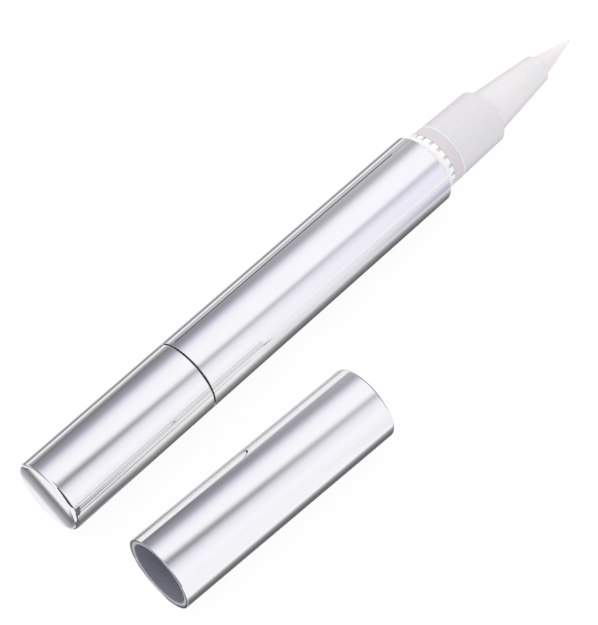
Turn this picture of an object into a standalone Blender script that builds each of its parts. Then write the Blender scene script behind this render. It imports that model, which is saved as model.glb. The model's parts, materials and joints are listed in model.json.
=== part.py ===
"""A twist-up teeth whitening pen with its cap lying beside it.

The pen lies along +X on the floor with its brush forward. Places along the pen are stations: distances from
the closed end of the knob. The cap has stations of its own, from its mouth. All lengths are metres.
"""

import math

import bmesh
import bpy
from mathutils import Matrix, Vector

# Clearances
seat_gap = 0.0003
slip_gap = 0.00025
cut_overrun = 0.001
merge_distance = 0.000001

# Facets round the pieces
shell_sides = 40
core_sides = 32
small_sides = 24
thread_sides = 16
fillet_steps = 3
sharp_angle = math.radians(32)

# Outer shells
outer_radius = 0.0065
shell_wall = 0.0004
closed_end_wall = 0.0006
end_fillet = 0.0005
rim_bevel = 0.00015
knob_length = 0.0295
seam_gap = 0.0003
barrel_length = 0.05495

# Cap and where it lies
cap_length = 0.0430
cap_end_fillet = 0.0003
cap_liner_recess = 0.0004
cap_liner_wall = 0.0003
cap_fit_gap = 0.00015
cap_liner_end_room = 0.0065
cap_ahead = 0.0026
cap_side_gap = 0.00835
cap_turn = math.radians(-2.93)

# Screw thread and rod
thread_lead = 0.003
thread_core_share = 0.73
thread_crest_share = 0.233
thread_flank_share = 0.117
rod_flat_share = 0.68
rod_neck_share = 0.59
rod_head_share = 0.91
rod_rear_room = 0.003
rod_head_length = 0.0016
rod_root_overlap = 0.0005

# Drive sleeve and knob insert
insert_wall = 0.00225
insert_recess = 0.0003
sleeve_wall = 0.0008
sleeve_flat_depth = 0.00045
sleeve_head_length = 0.0010
sleeve_head_room = 0.0006
sleeve_head_share = 0.6

# Barrel bush, click ring and ratchet ring
bush_recess = 0.0003
bush_length = 0.0029
ratchet_wall = 0.0005
ratchet_tooth_height = 0.0004
ratchet_teeth = 12
ratchet_ramp_share = 0.96
click_length = 0.0016
click_hub_share = 0.30
click_slot_share = 0.30
click_arms = 2
click_arm_sweep = math.radians(115)
click_arm_root = math.radians(30)

# Guide nut
nut_flange_length = 0.0012
nut_depth = 0.0045
nut_lug_width = 0.0020
nut_lug_length = 0.0012

# Piston
piston_nut_gap = 0.0005
piston_length = 0.0065
piston_lip_share = 0.15
piston_lip_height = 0.0004
piston_mouth_wall = 0.0010
piston_nose_length = 0.0008
piston_nose_share = 0.5

# Reservoir, neck and spigot
reservoir_wall = 0.0010
shoulder_recess = 0.0004
chamber_front_wall = 0.0028
funnel_length = 0.0018
outlet_radius = 0.0015
neck_length = 0.00245
notch_count = 20
notch_width = 0.0008
notch_depth = 0.00035
notch_length = 0.0011

# Neck seal and nozzle collar
seal_length = 0.00185
collar_length = 0.01035
collar_step = 0.00004
collar_draft = 0.00023
collar_wall = 0.00058
collar_front_wall = 0.0035
collar_edge = 0.0002

# Brush holder and its tail in the collar
tail_bead_height = 0.0005
tail_bead_length = 0.0009
cone_length = 0.0138
cone_step = 0.0004
cone_front_wall = 0.00034
cone_edge = 0.0001

# Brush, ferrule and feed tube
ferrule_radius = 0.0020
ferrule_wall = 0.00015
ferrule_length = 0.0050
ferrule_recess = 0.0005
tuft_gap = 0.0002
tuft_backing_recess = 0.0010
tuft_reach = 0.00846
belly_ahead = 0.0012
belly_radius = 0.00181
tip_radius = 0.0003
bristle_count = 300
bristle_root_share = 0.36
bristle_tip_share = 0.25
bristle_sink = 0.0004
bristle_stagger = 0.0014
bristle_edge_room = 0.00009
feed_tube_radius = 0.0005
feed_tube_wall = 0.0002
feed_tube_in_outlet = 0.0015
feed_tube_into_brush = 0.0007

# Radii that follow
shell_bore = outer_radius - shell_wall
inner_radius = shell_bore - seat_gap
cap_liner_bore = inner_radius - cap_liner_wall
neck_radius = cap_liner_bore - cap_fit_gap
insert_bore = inner_radius - insert_wall
sleeve_radius = insert_bore - seat_gap
sleeve_flat = sleeve_radius - sleeve_flat_depth
insert_bore_flat = sleeve_flat + seat_gap
sleeve_bore = sleeve_radius - sleeve_wall
thread_crest_radius = sleeve_bore - slip_gap
thread_core_radius = thread_core_share * thread_crest_radius
rod_flat_half = rod_flat_share * thread_crest_radius
rod_neck_radius = rod_neck_share * thread_crest_radius
rod_head_radius = rod_head_share * thread_crest_radius
sleeve_bore_flat = rod_flat_half + slip_gap
ratchet_valley_radius = inner_radius - ratchet_wall
ratchet_crest_radius = ratchet_valley_radius - ratchet_tooth_height
click_tip_radius = ratchet_crest_radius - slip_gap
click_space = click_tip_radius - insert_bore
click_hub_radius = insert_bore + click_hub_share * click_space
click_slot_radius = click_hub_radius + click_slot_share * click_space
sleeve_head_radius = sleeve_radius + sleeve_head_share * (click_tip_radius - sleeve_radius)
reservoir_bore = inner_radius - reservoir_wall
nut_body_radius = reservoir_bore - seat_gap
piston_radius = reservoir_bore - slip_gap
piston_waist_radius = piston_radius - piston_lip_height
piston_mouth_radius = rod_neck_radius + slip_gap
piston_socket_radius = rod_head_radius + slip_gap
collar_rear_radius = neck_radius - collar_step
collar_front_radius = collar_rear_radius - collar_draft
collar_bore = collar_front_radius - collar_wall
spigot_radius = collar_bore - seat_gap
tail_bead_radius = collar_bore - seat_gap
tail_radius = tail_bead_radius - tail_bead_height
collar_front_bore = tail_radius + seat_gap
cone_rear_radius = tail_radius + cone_step
ferrule_bore = ferrule_radius + slip_gap
cone_front_radius = ferrule_bore + cone_front_wall
ferrule_inner_radius = ferrule_radius - ferrule_wall
tuft_radius = ferrule_inner_radius - tuft_gap
tuft_bore_radius = feed_tube_radius + slip_gap
bristle_outer_root = tuft_radius - bristle_edge_room
bristle_inner_root = tuft_bore_radius + bristle_edge_room
bristle_spacing = math.sqrt(math.pi * (bristle_outer_root**2 - bristle_inner_root**2) / bristle_count)
bristle_root_radius = bristle_root_share * bristle_spacing
bristle_tip_radius = bristle_tip_share * bristle_spacing * tip_radius / bristle_outer_root
feed_bore = feed_tube_radius + seat_gap

# Stations along the pen
insert_rear = closed_end_wall + seat_gap
insert_front = knob_length - insert_recess
barrel_rear = knob_length + seam_gap
barrel_front = barrel_rear + barrel_length
bush_rear = barrel_rear + bush_recess
bush_front = bush_rear + bush_length
click_rear = bush_front + slip_gap
click_front = click_rear + click_length
sleeve_rear = insert_rear + seat_gap
sleeve_head_rear = click_front + seat_gap
sleeve_front = sleeve_head_rear + sleeve_head_length
ratchet_rear = bush_front + seat_gap
ratchet_front = sleeve_front + sleeve_head_room
nut_rear = ratchet_front + seat_gap
nut_flange_front = nut_rear + nut_flange_length
reservoir_rear = nut_flange_front + seat_gap
nut_front = reservoir_rear + nut_depth
piston_rear = nut_front + piston_nut_gap
piston_front = piston_rear + piston_length
rod_rear = insert_rear + rod_rear_room
thread_front = piston_rear - slip_gap
rod_head_rear = piston_rear + piston_mouth_wall + slip_gap
rod_front = rod_head_rear + rod_head_length
piston_socket_front = rod_front + slip_gap
shoulder_station = barrel_front - shoulder_recess
chamber_front = shoulder_station - chamber_front_wall
outlet_rear = chamber_front + funnel_length
neck_front = barrel_front + neck_length
seal_rear = neck_front + seat_gap
seal_front = seal_rear + seal_length
collar_rear = seal_front + seat_gap
collar_front = collar_rear + collar_length
collar_inner_face = collar_front - collar_front_wall
tail_bead_front = collar_inner_face - seat_gap
tail_rear = tail_bead_front - tail_bead_length
spigot_front = tail_rear - seat_gap
cone_rear = collar_front + seat_gap
cone_front = cone_rear + cone_length
ferrule_front = cone_front - ferrule_recess
ferrule_rear = ferrule_front - ferrule_length
ferrule_floor = ferrule_rear - seat_gap
tuft_backing_front = ferrule_front - tuft_backing_recess
tuft_backing_rear = ferrule_rear + seat_gap
belly_station = cone_front + belly_ahead
pen_tip = cone_front + tuft_reach
feed_tube_rear = spigot_front - feed_tube_in_outlet
feed_tube_front = tuft_backing_front + feed_tube_into_brush

# Where the pen and the cap lie, with a facet of each on the floor
axis_height = outer_radius * math.cos(math.pi / shell_sides)
cap_beside = 2 * outer_radius + cap_side_gap
cap_far_side = cap_beside + cap_length * abs(math.sin(cap_turn)) + axis_height * math.cos(cap_turn)
pen_rear_x = -pen_tip / 2
pen_y = (cap_far_side - axis_height) / 2

# Scene and collections


def clear_scene():
    for item in list(bpy.data.objects):
        bpy.data.objects.remove(item, do_unlink=True)


def new_collection(name):
    collection = bpy.data.collections.new(name)
    bpy.context.scene.collection.children.link(collection)
    return collection


clear_scene()
pen_parts = new_collection("teeth_whitening_pen")
cutters = new_collection("cutters")


def axis_empty(name, location, turn):
    """An empty whose local Z runs forward along a piece's own axis."""
    empty = bpy.data.objects.new(name, None)
    empty.empty_display_size = outer_radius
    empty.location = location
    empty.rotation_euler = (0, math.pi / 2, turn)
    pen_parts.objects.link(empty)
    return empty


pen_axis = axis_empty("pen_axis", (pen_rear_x, pen_y, axis_height), 0)
cap_axis = axis_empty("cap_axis", (pen_rear_x + cap_ahead, pen_y - cap_beside, axis_height), cap_turn)

# Materials


def material(name, colour, roughness, metallic=0.0):
    finish = bpy.data.materials.new(name)
    finish.use_nodes = True
    shader = finish.node_tree.nodes["Principled BSDF"]
    shader.inputs["Base Color"].default_value = (*colour, 1)
    shader.inputs["Roughness"].default_value = roughness
    shader.inputs["Metallic"].default_value = metallic
    finish.diffuse_color = (*colour, 1)
    return finish


# Modelling tools


def baked(item):
    """Turns an object's modifiers into its mesh."""
    bpy.context.view_layer.update()
    graph = bpy.context.evaluated_depsgraph_get()
    mesh = bpy.data.meshes.new_from_object(item.evaluated_get(graph))
    mesh.name = item.name
    item.modifiers.clear()
    item.data = mesh
    return item


def finish_part(item, finish):
    baked(item)
    item.data.shade_smooth()
    item.data.set_sharp_from_angle(angle=sharp_angle)
    item.data.materials.clear()
    item.data.materials.append(finish)
    return item


def as_cutter(item):
    pen_parts.objects.unlink(item)
    cutters.objects.link(item)
    item.hide_render = True
    item.display_type = "WIRE"
    return item


def boolean(item, other, operation):
    modifier = item.modifiers.new(operation.lower(), "BOOLEAN")
    modifier.operation = operation
    modifier.solver = "EXACT"
    modifier.object = as_cutter(other)
    return item


def add_object(name, mesh, axis, station):
    item = bpy.data.objects.new(name, mesh)
    item.parent = axis
    item.location.z = station
    pen_parts.objects.link(item)
    return item


def arc(centre_radius, centre_station, radius, start, end):
    """Points of a fillet, as radius and station, between two angles from the radial direction."""
    points = []
    for step in range(fillet_steps + 1):
        angle = start + (end - start) * step / fillet_steps
        points.append((centre_radius + radius * math.cos(angle), centre_station + radius * math.sin(angle)))
    return points


def turned(name, profile, axis, sides, ring=False):
    """A turned piece from points of radius and station that run down its outer side, front to back.

    A ring's profile closes on itself. Any other profile starts and ends on the axis.
    """
    rear = min(station for radius, station in profile)
    mesh = bpy.data.meshes.new(name)
    points = [(radius, 0, station - rear) for radius, station in profile]
    edges = [(index, index + 1) for index in range(len(points) - 1)]
    if ring:
        edges.append((len(points) - 1, 0))
    mesh.from_pydata(points, edges, [])
    item = add_object(name, mesh, axis, rear)
    item.rotation_euler.z = math.pi / sides
    screw = item.modifiers.new("turn", "SCREW")
    screw.axis = "Z"
    screw.angle = 2 * math.pi
    screw.steps = sides
    screw.render_steps = sides
    screw.use_merge_vertices = True
    screw.merge_threshold = merge_distance
    return baked(item)


def box(name, size, centre, axis):
    """A box of size along the axis frame's X, Y and Z."""
    mesh = bpy.data.meshes.new(name)
    shape = bmesh.new()
    bmesh.ops.create_cube(shape, size=1, matrix=Matrix.Diagonal((*size, 1)))
    shape.to_mesh(mesh)
    shape.free()
    item = add_object(name, mesh, axis, centre[2])
    item.location.x = centre[0]
    item.location.y = centre[1]
    return item


def on_circle(radius, angle):
    return (radius * math.cos(angle), radius * math.sin(angle))


def double_d(radius, flat_half, steps):
    """The outline of a circle with two flats, which lie across the local Y axis."""
    corner = math.asin(flat_half / radius)
    points = []
    for start in (-corner, math.pi - corner):
        for step in range(steps + 1):
            points.append(on_circle(radius, start + 2 * corner * step / steps))
    return points


def plate(name, outlines, axis, rear, front):
    """A flat outline, with holes where further outlines lie in it, from station rear to front."""
    curve = bpy.data.curves.new(name, "CURVE")
    curve.dimensions = "2D"
    curve.fill_mode = "BOTH"
    curve.extrude = (front - rear) / 2
    for outline in outlines:
        spline = curve.splines.new("POLY")
        spline.points.add(len(outline) - 1)
        for point, place in zip(spline.points, outline):
            point.co = (place[0], place[1], 0, 1)
        spline.use_cyclic_u = True
    drawn = add_object(name + "_outline", curve, axis, (front + rear) / 2)
    bpy.context.view_layer.update()
    graph = bpy.context.evaluated_depsgraph_get()
    mesh = bpy.data.meshes.new_from_object(drawn.evaluated_get(graph))
    bpy.data.objects.remove(drawn, do_unlink=True)
    shape = bmesh.new()
    shape.from_mesh(mesh)
    bmesh.ops.remove_doubles(shape, verts=shape.verts, dist=merge_distance)
    bmesh.ops.recalc_face_normals(shape, faces=shape.faces)
    shape.to_mesh(mesh)
    shape.free()
    return add_object(name, mesh, axis, (front + rear) / 2)


def thread(name, rear, front, clearance):
    """A threaded bar between two stations. With a clearance it is the cutter for a nut."""
    core = thread_core_radius + clearance
    crest = thread_crest_radius + clearance
    half_crest = thread_crest_share * thread_lead / 2 + clearance
    half_root = half_crest + thread_flank_share * thread_lead
    turn_below = math.floor(rear / thread_lead) - 1
    turns = math.ceil(front / thread_lead) + 1 - turn_below
    profile = [
        (core, thread_lead - half_root),
        (core, half_root),
        (crest, half_crest),
        (crest, -half_crest),
        (core, -half_root),
    ]
    mesh = bpy.data.meshes.new(name)
    points = [(radius, 0, turn_below * thread_lead + place) for radius, place in profile]
    mesh.from_pydata(points, [(index, index + 1) for index in range(len(points) - 1)], [])
    item = add_object(name, mesh, pen_axis, 0)
    screw = item.modifiers.new("helix", "SCREW")
    screw.axis = "Z"
    screw.angle = 2 * math.pi
    screw.screw_offset = thread_lead
    screw.iterations = turns
    screw.steps = thread_sides
    screw.render_steps = thread_sides
    baked(item)
    shape = bmesh.new()
    shape.from_mesh(item.data)
    bmesh.ops.remove_doubles(shape, verts=shape.verts, dist=merge_distance)
    for station, direction in ((rear, -1), (front, 1)):
        whole = list(shape.verts) + list(shape.edges) + list(shape.faces)
        point = (0, 0, station)
        away = (0, 0, direction)
        bmesh.ops.bisect_plane(
            shape, geom=whole, dist=merge_distance, plane_co=point, plane_no=away, clear_outer=True
        )
        rim = [edge for edge in shape.edges if edge.is_boundary and on_plane(edge, station)]
        bmesh.ops.edgeloop_fill(shape, edges=rim)
    bmesh.ops.recalc_face_normals(shape, faces=shape.faces)
    shape.to_mesh(item.data)
    shape.free()
    return item


def on_plane(edge, station):
    return all(abs(corner.co.z - station) < merge_distance for corner in edge.verts)


def ring_profile(outer, inner, rear, front, bevel=0.0):
    """A plain ring with its outer edges bevelled."""
    if not bevel:
        return [(outer, front), (outer, rear), (inner, rear), (inner, front)]
    return [
        (outer - bevel, front),
        (outer, front - bevel),
        (outer, rear + bevel),
        (outer - bevel, rear),
        (inner, rear),
        (inner, front),
    ]


# Outer shells


def make_barrel_shell():
    profile = ring_profile(outer_radius, shell_bore, barrel_rear, barrel_front, rim_bevel)
    return turned("barrel_shell", profile, pen_axis, shell_sides, ring=True)


def make_knob_shell():
    profile = [(0, closed_end_wall), (shell_bore, closed_end_wall), (shell_bore, knob_length)]
    profile += [(outer_radius - rim_bevel, knob_length), (outer_radius, knob_length - rim_bevel)]
    profile += arc(outer_radius - end_fillet, end_fillet, end_fillet, 0, -math.pi / 2)
    profile.append((0, 0))
    return turned("knob_shell", profile, pen_axis, shell_sides)


def make_cap_shell():
    floor = cap_length - closed_end_wall
    profile = [(0, cap_length)]
    profile += arc(outer_radius - cap_end_fillet, cap_length - cap_end_fillet, cap_end_fillet, math.pi / 2, 0)
    profile += [(outer_radius, rim_bevel), (outer_radius - rim_bevel, 0)]
    profile += [(shell_bore, 0), (shell_bore, floor), (0, floor)]
    return turned("cap_shell", profile, cap_axis, shell_sides)


def make_cap_liner():
    rear = cap_liner_recess
    front = cap_length - closed_end_wall - cap_liner_end_room
    profile = ring_profile(inner_radius, cap_liner_bore, rear, front)
    return turned("cap_liner", profile, cap_axis, shell_sides, ring=True)


# Knob drive


def make_knob_insert():
    profile = [(0, insert_front), (inner_radius, insert_front), (inner_radius, insert_rear), (0, insert_rear)]
    insert = turned("knob_insert", profile, pen_axis, core_sides)
    outline = double_d(insert_bore, insert_bore_flat, small_sides // 2)
    bore = plate("insert_bore", [outline], pen_axis, insert_rear - cut_overrun, insert_front + cut_overrun)
    return boolean(insert, bore, "DIFFERENCE")


def make_drive_sleeve():
    profile = [
        (0, sleeve_front),
        (sleeve_head_radius, sleeve_front),
        (sleeve_head_radius, sleeve_head_rear),
        (sleeve_radius, sleeve_head_rear),
        (sleeve_radius, sleeve_rear),
        (0, sleeve_rear),
    ]
    sleeve = turned("drive_sleeve", profile, pen_axis, small_sides)
    length = sleeve_head_rear - sleeve_rear + cut_overrun
    for side in (-1, 1):
        size = (2 * outer_radius, outer_radius, length)
        centre = (0, side * (sleeve_flat + outer_radius / 2), sleeve_head_rear - length / 2)
        boolean(sleeve, box("sleeve_flat", size, centre, pen_axis), "DIFFERENCE")
    outline = double_d(sleeve_bore, sleeve_bore_flat, small_sides // 3)
    bore = plate("sleeve_bore", [outline], pen_axis, sleeve_rear - cut_overrun, sleeve_front + cut_overrun)
    return boolean(sleeve, bore, "DIFFERENCE")


def make_barrel_bush():
    profile = ring_profile(inner_radius, insert_bore, bush_rear, bush_front)
    return turned("barrel_bush", profile, pen_axis, core_sides, ring=True)


def click_outline():
    """A hub with spring arms that trail against the forward twist, so they slide over the ratchet's ramps."""
    points = []
    pitch = 2 * math.pi / click_arms
    steps = small_sides // click_arms
    for arm in range(click_arms):
        start = arm * pitch
        for step in range(steps + 1):
            share = step / steps
            radius = click_hub_radius + (click_tip_radius - click_hub_radius) * min(1, 2 * share)
            points.append(on_circle(radius, start + click_arm_sweep * share))
        for step in range(steps, 0, -1):
            angle = click_arm_root + (click_arm_sweep - click_arm_root) * step / steps
            points.append(on_circle(click_slot_radius, start + angle))
        for step in range(steps):
            angle = click_arm_root + (pitch - click_arm_root) * step / steps
            points.append(on_circle(click_hub_radius, start + angle))
    return [(across, -up) for across, up in points]


def make_click_ring():
    hole = double_d(insert_bore, insert_bore_flat, small_sides // 2)
    return plate("click_ring", [click_outline(), hole], pen_axis, click_rear, click_front)


def ratchet_outline():
    """Saw teeth whose ramps rise inwards as the knob turns forward."""
    points = []
    pitch = 2 * math.pi / ratchet_teeth
    for tooth in range(ratchet_teeth):
        points.append(on_circle(ratchet_valley_radius, tooth * pitch))
        middle = tooth + ratchet_ramp_share / 2
        points.append(on_circle((ratchet_valley_radius + ratchet_crest_radius) / 2, middle * pitch))
        points.append(on_circle(ratchet_crest_radius, (tooth + ratchet_ramp_share) * pitch))
    return points


def make_ratchet_ring():
    rim = [on_circle(inner_radius, 2 * math.pi * step / core_sides) for step in range(core_sides)]
    return plate("ratchet_ring", [rim, ratchet_outline()], pen_axis, ratchet_rear, ratchet_front)


# Screw, nut and piston


def nut_lug_bar(name, clearance, front):
    """A bar across the nut whose two ends stand in the reservoir's notches."""
    reach = 2 * (inner_radius - seat_gap + clearance)
    rear = nut_flange_front - cut_overrun / 2
    size = (reach, nut_lug_width + 2 * clearance, front - rear)
    return box(name, size, (0, 0, (rear + front) / 2), pen_axis)


def make_guide_nut():
    profile = [
        (0, nut_front),
        (nut_body_radius, nut_front),
        (nut_body_radius, nut_flange_front),
        (inner_radius, nut_flange_front),
        (inner_radius, nut_rear),
        (0, nut_rear),
    ]
    nut = turned("guide_nut", profile, pen_axis, core_sides)
    lug_front = reservoir_rear + nut_lug_length
    boolean(nut, nut_lug_bar("nut_lugs", 0, lug_front), "UNION")
    bore = thread("nut_thread", nut_rear - cut_overrun, nut_front + cut_overrun, slip_gap)
    return boolean(nut, bore, "DIFFERENCE")


def make_screw_rod():
    rod = thread("screw_rod", rod_rear, thread_front, 0)
    length = thread_front - rod_rear + 2 * cut_overrun
    for side in (-1, 1):
        size = (2 * outer_radius, outer_radius, length)
        centre = (0, side * (rod_flat_half + outer_radius / 2), (thread_front + rod_rear) / 2)
        boolean(rod, box("rod_flat", size, centre, pen_axis), "DIFFERENCE")
    profile = [
        (0, rod_front),
        (rod_head_radius, rod_front),
        (rod_head_radius, rod_head_rear),
        (rod_neck_radius, rod_head_rear),
        (rod_neck_radius, thread_front - rod_root_overlap),
        (0, thread_front - rod_root_overlap),
    ]
    return boolean(rod, turned("rod_head", profile, pen_axis, small_sides), "UNION")


def make_piston():
    nose_radius = piston_radius * piston_nose_share
    lip_front = piston_front - piston_nose_length
    lip = piston_lip_share * (lip_front - piston_rear)
    profile = [
        (0, piston_front),
        (nose_radius, piston_front),
        (piston_radius, lip_front),
        (piston_radius, lip_front - lip),
        (piston_waist_radius, lip_front - 2 * lip),
        (piston_waist_radius, piston_rear + 2 * lip),
        (piston_radius, piston_rear + lip),
        (piston_radius, piston_rear),
        (piston_mouth_radius, piston_rear),
        (piston_mouth_radius, piston_rear + piston_mouth_wall),
        (piston_socket_radius, piston_rear + piston_mouth_wall),
        (piston_socket_radius, piston_socket_front),
        (0, piston_socket_front),
    ]
    return turned("piston", profile, pen_axis, core_sides)


# Reservoir and nozzle


def neck_notches():
    """One cutter for the row of notches in the front edge of the neck."""
    mesh = bpy.data.meshes.new("neck_notches")
    shape = bmesh.new()
    depth = notch_depth + cut_overrun
    length = notch_length + seat_gap / 2
    size = Matrix.Diagonal((depth, notch_width, length, 1))
    out = Matrix.Translation((neck_radius - notch_depth + depth / 2, 0, length / 2))
    for notch in range(notch_count):
        turn = Matrix.Rotation(2 * math.pi * notch / notch_count, 4, "Z")
        bmesh.ops.create_cube(shape, size=1, matrix=turn @ out @ size)
    shape.to_mesh(mesh)
    shape.free()
    return add_object("neck_notches", mesh, pen_axis, neck_front - notch_length)


def make_reservoir():
    profile = [
        (spigot_radius, spigot_front),
        (spigot_radius, neck_front),
        (neck_radius, neck_front),
        (neck_radius, shoulder_station),
        (inner_radius, shoulder_station),
        (inner_radius, reservoir_rear),
        (reservoir_bore, reservoir_rear),
        (reservoir_bore, chamber_front),
        (outlet_radius, outlet_rear),
        (outlet_radius, spigot_front),
    ]
    reservoir = turned("reservoir", profile, pen_axis, shell_sides, ring=True)
    lug_front = reservoir_rear + nut_lug_length + seat_gap
    notch = nut_lug_bar("lug_notches", seat_gap, lug_front)
    boolean(reservoir, notch, "DIFFERENCE")
    return boolean(reservoir, neck_notches(), "DIFFERENCE")


def make_neck_seal():
    profile = ring_profile(neck_radius, collar_bore, seal_rear, seal_front, collar_edge)
    return turned("neck_seal", profile, pen_axis, shell_sides, ring=True)


def make_nozzle_collar():
    profile = [
        (collar_front_radius - collar_edge, collar_front),
        (collar_front_radius, collar_front - collar_edge),
        (collar_rear_radius, collar_rear + collar_edge),
        (collar_rear_radius - collar_edge, collar_rear),
        (collar_bore, collar_rear),
        (collar_bore, collar_inner_face),
        (collar_front_bore, collar_inner_face),
        (collar_front_bore, collar_front),
    ]
    return turned("nozzle_collar", profile, pen_axis, shell_sides, ring=True)


def make_brush_holder():
    profile = [
        (cone_front_radius - cone_edge, cone_front),
        (cone_front_radius, cone_front - cone_edge),
        (cone_rear_radius, cone_rear),
        (tail_radius, cone_rear),
        (tail_radius, tail_bead_front),
        (tail_bead_radius, tail_bead_front),
        (tail_bead_radius, tail_rear),
        (feed_bore, tail_rear),
        (feed_bore, ferrule_floor),
        (ferrule_bore, ferrule_floor),
        (ferrule_bore, cone_front),
    ]
    return turned("brush_holder", profile, pen_axis, core_sides, ring=True)


def make_brush_ferrule():
    profile = ring_profile(ferrule_radius, ferrule_inner_radius, ferrule_rear, ferrule_front)
    return turned("brush_ferrule", profile, pen_axis, small_sides, ring=True)


def make_feed_tube():
    bore = feed_tube_radius - feed_tube_wall
    profile = ring_profile(feed_tube_radius, bore, feed_tube_rear, feed_tube_front)
    return turned("feed_tube", profile, pen_axis, small_sides // 2, ring=True)


# Brush


def bristle_roots():
    """Places spread evenly over the backing's ring, each a golden angle on from the last."""
    inner = bristle_inner_root**2
    outer = bristle_outer_root**2
    golden_angle = math.pi * (3 - math.sqrt(5))
    roots = []
    for index in range(bristle_count):
        radius = math.sqrt(inner + (outer - inner) * (index + 0.5) / bristle_count)
        roots.append((radius, index * golden_angle))
    return roots


def spread(station):
    """How wide the tuft is at a station, against its root. Every bristle follows it, so none cross."""
    belly = (belly_radius - bristle_root_radius) / bristle_outer_root
    tip = tip_radius / bristle_outer_root
    if station <= belly_station:
        along = max(0, (station - tuft_backing_front) / (belly_station - tuft_backing_front))
        return 1 + (belly - 1) * along
    return belly + (tip - belly) * (station - belly_station) / (pen_tip - belly_station)


def bristle_thickness(station):
    """A bristle's own radius at a station. It tapers from the belly on."""
    along = max(0, (station - belly_station) / (pen_tip - belly_station))
    return bristle_root_radius + (bristle_tip_radius - bristle_root_radius) * along


def bristle_rings(radius, angle):
    """Centre and radius of a bristle at its root, belly and end. The outer bristles are shorter."""
    outwards = (radius - bristle_inner_root) / (bristle_outer_root - bristle_inner_root)
    end = pen_tip - bristle_stagger * outwards
    rings = []
    for station in (tuft_backing_front - bristle_sink, belly_station, end):
        across, up = on_circle(radius * spread(station), angle)
        rings.append((Vector((across, up, station - tuft_backing_rear)), bristle_thickness(station)))
    return rings


def add_bristle(shape, rings, angle, corners=3):
    """A thin loft of three sides through a bristle's rings, closed at both ends."""
    loops = []
    for centre, thickness in rings:
        loop = []
        for corner in range(corners):
            across, up = on_circle(thickness, angle + 2 * math.pi * corner / corners)
            loop.append(shape.verts.new(centre + Vector((across, up, 0))))
        loops.append(loop)
    for lower, upper in zip(loops, loops[1:]):
        for corner in range(corners):
            after = (corner + 1) % corners
            shape.faces.new((lower[corner], lower[after], upper[after], upper[corner]))
    shape.faces.new(reversed(loops[0]))
    shape.faces.new(loops[-1])


def least_bristle_gap(strands):
    """The least room between two bristles, as if all reached the tip, from their centres and radii."""
    least = tuft_radius
    for station in (tuft_backing_front, belly_station, pen_tip):
        places = [on_circle(radius * spread(station), angle) for radius, angle in strands]
        for first in range(len(places)):
            for second in range(first):
                apart = math.dist(places[first], places[second])
                least = min(least, apart - 2 * bristle_thickness(station))
    return least


def make_brush_tuft():
    profile = ring_profile(tuft_radius, tuft_bore_radius, tuft_backing_rear, tuft_backing_front)
    backing = turned("brush_tuft", profile, pen_axis, small_sides, ring=True)
    roots = bristle_roots()
    mesh = bpy.data.meshes.new("bristles")
    shape = bmesh.new()
    for radius, angle in roots:
        add_bristle(shape, bristle_rings(radius, angle), angle)
    shape.to_mesh(mesh)
    shape.free()
    print("least gap between bristles, mm:", round(least_bristle_gap(roots) / 0.001, 4))
    return boolean(backing, add_object("bristles", mesh, pen_axis, tuft_backing_rear), "UNION")


# Assembly

aluminium = material("polished_aluminium", (0.86, 0.86, 0.89), 0.08, 1.0)
liner_plastic = material("cap_liner_plastic", (0.38, 0.40, 0.45), 0.45)
clear_plastic = material("reservoir_plastic", (0.90, 0.91, 0.92), 0.30)
seal_rubber = material("seal_rubber", (0.84, 0.76, 0.77), 0.55)
frosted_plastic = material("frosted_plastic", (0.84, 0.83, 0.87), 0.50)
holder_plastic = material("holder_plastic", (0.88, 0.85, 0.88), 0.50)
core_plastic = material("core_plastic", (0.80, 0.80, 0.78), 0.45)
acetal = material("acetal", (0.90, 0.90, 0.88), 0.35)
piston_plastic = material("piston_plastic", (0.82, 0.86, 0.88), 0.50)
ferrule_metal = material("ferrule_metal", (0.75, 0.75, 0.76), 0.25, 1.0)
tube_plastic = material("tube_plastic", (0.88, 0.89, 0.90), 0.40)
bristle_nylon = material("bristle_nylon", (0.90, 0.87, 0.82), 0.45)

finish_part(make_barrel_shell(), aluminium)
finish_part(make_knob_shell(), aluminium)
finish_part(make_cap_shell(), aluminium)
finish_part(make_cap_liner(), liner_plastic)
finish_part(make_knob_insert(), core_plastic)
finish_part(make_drive_sleeve(), acetal)
finish_part(make_barrel_bush(), core_plastic)
finish_part(make_click_ring(), acetal)
finish_part(make_ratchet_ring(), acetal)
finish_part(make_guide_nut(), acetal)
finish_part(make_screw_rod(), acetal)
finish_part(make_piston(), piston_plastic)
finish_part(make_reservoir(), clear_plastic)
finish_part(make_neck_seal(), seal_rubber)
finish_part(make_nozzle_collar(), frosted_plastic)
finish_part(make_brush_holder(), holder_plastic)
finish_part(make_brush_ferrule(), ferrule_metal)
finish_part(make_feed_tube(), tube_plastic)
finish_part(make_brush_tuft(), bristle_nylon)
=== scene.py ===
"""A teeth whitening pen with its cap off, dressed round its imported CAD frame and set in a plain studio.

The outer pieces are modelled anew on the frame's own centre lines and sizes. The mechanism inside keeps
its CAD solids and gets finishes here. All lengths are metres, in the frame's own axes.
"""

import json
import math
from collections import namedtuple

import bmesh
import bpy
from bpy.props import FloatProperty, FloatVectorProperty, IntProperty, PointerProperty
from mathutils import Matrix, Vector


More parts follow.
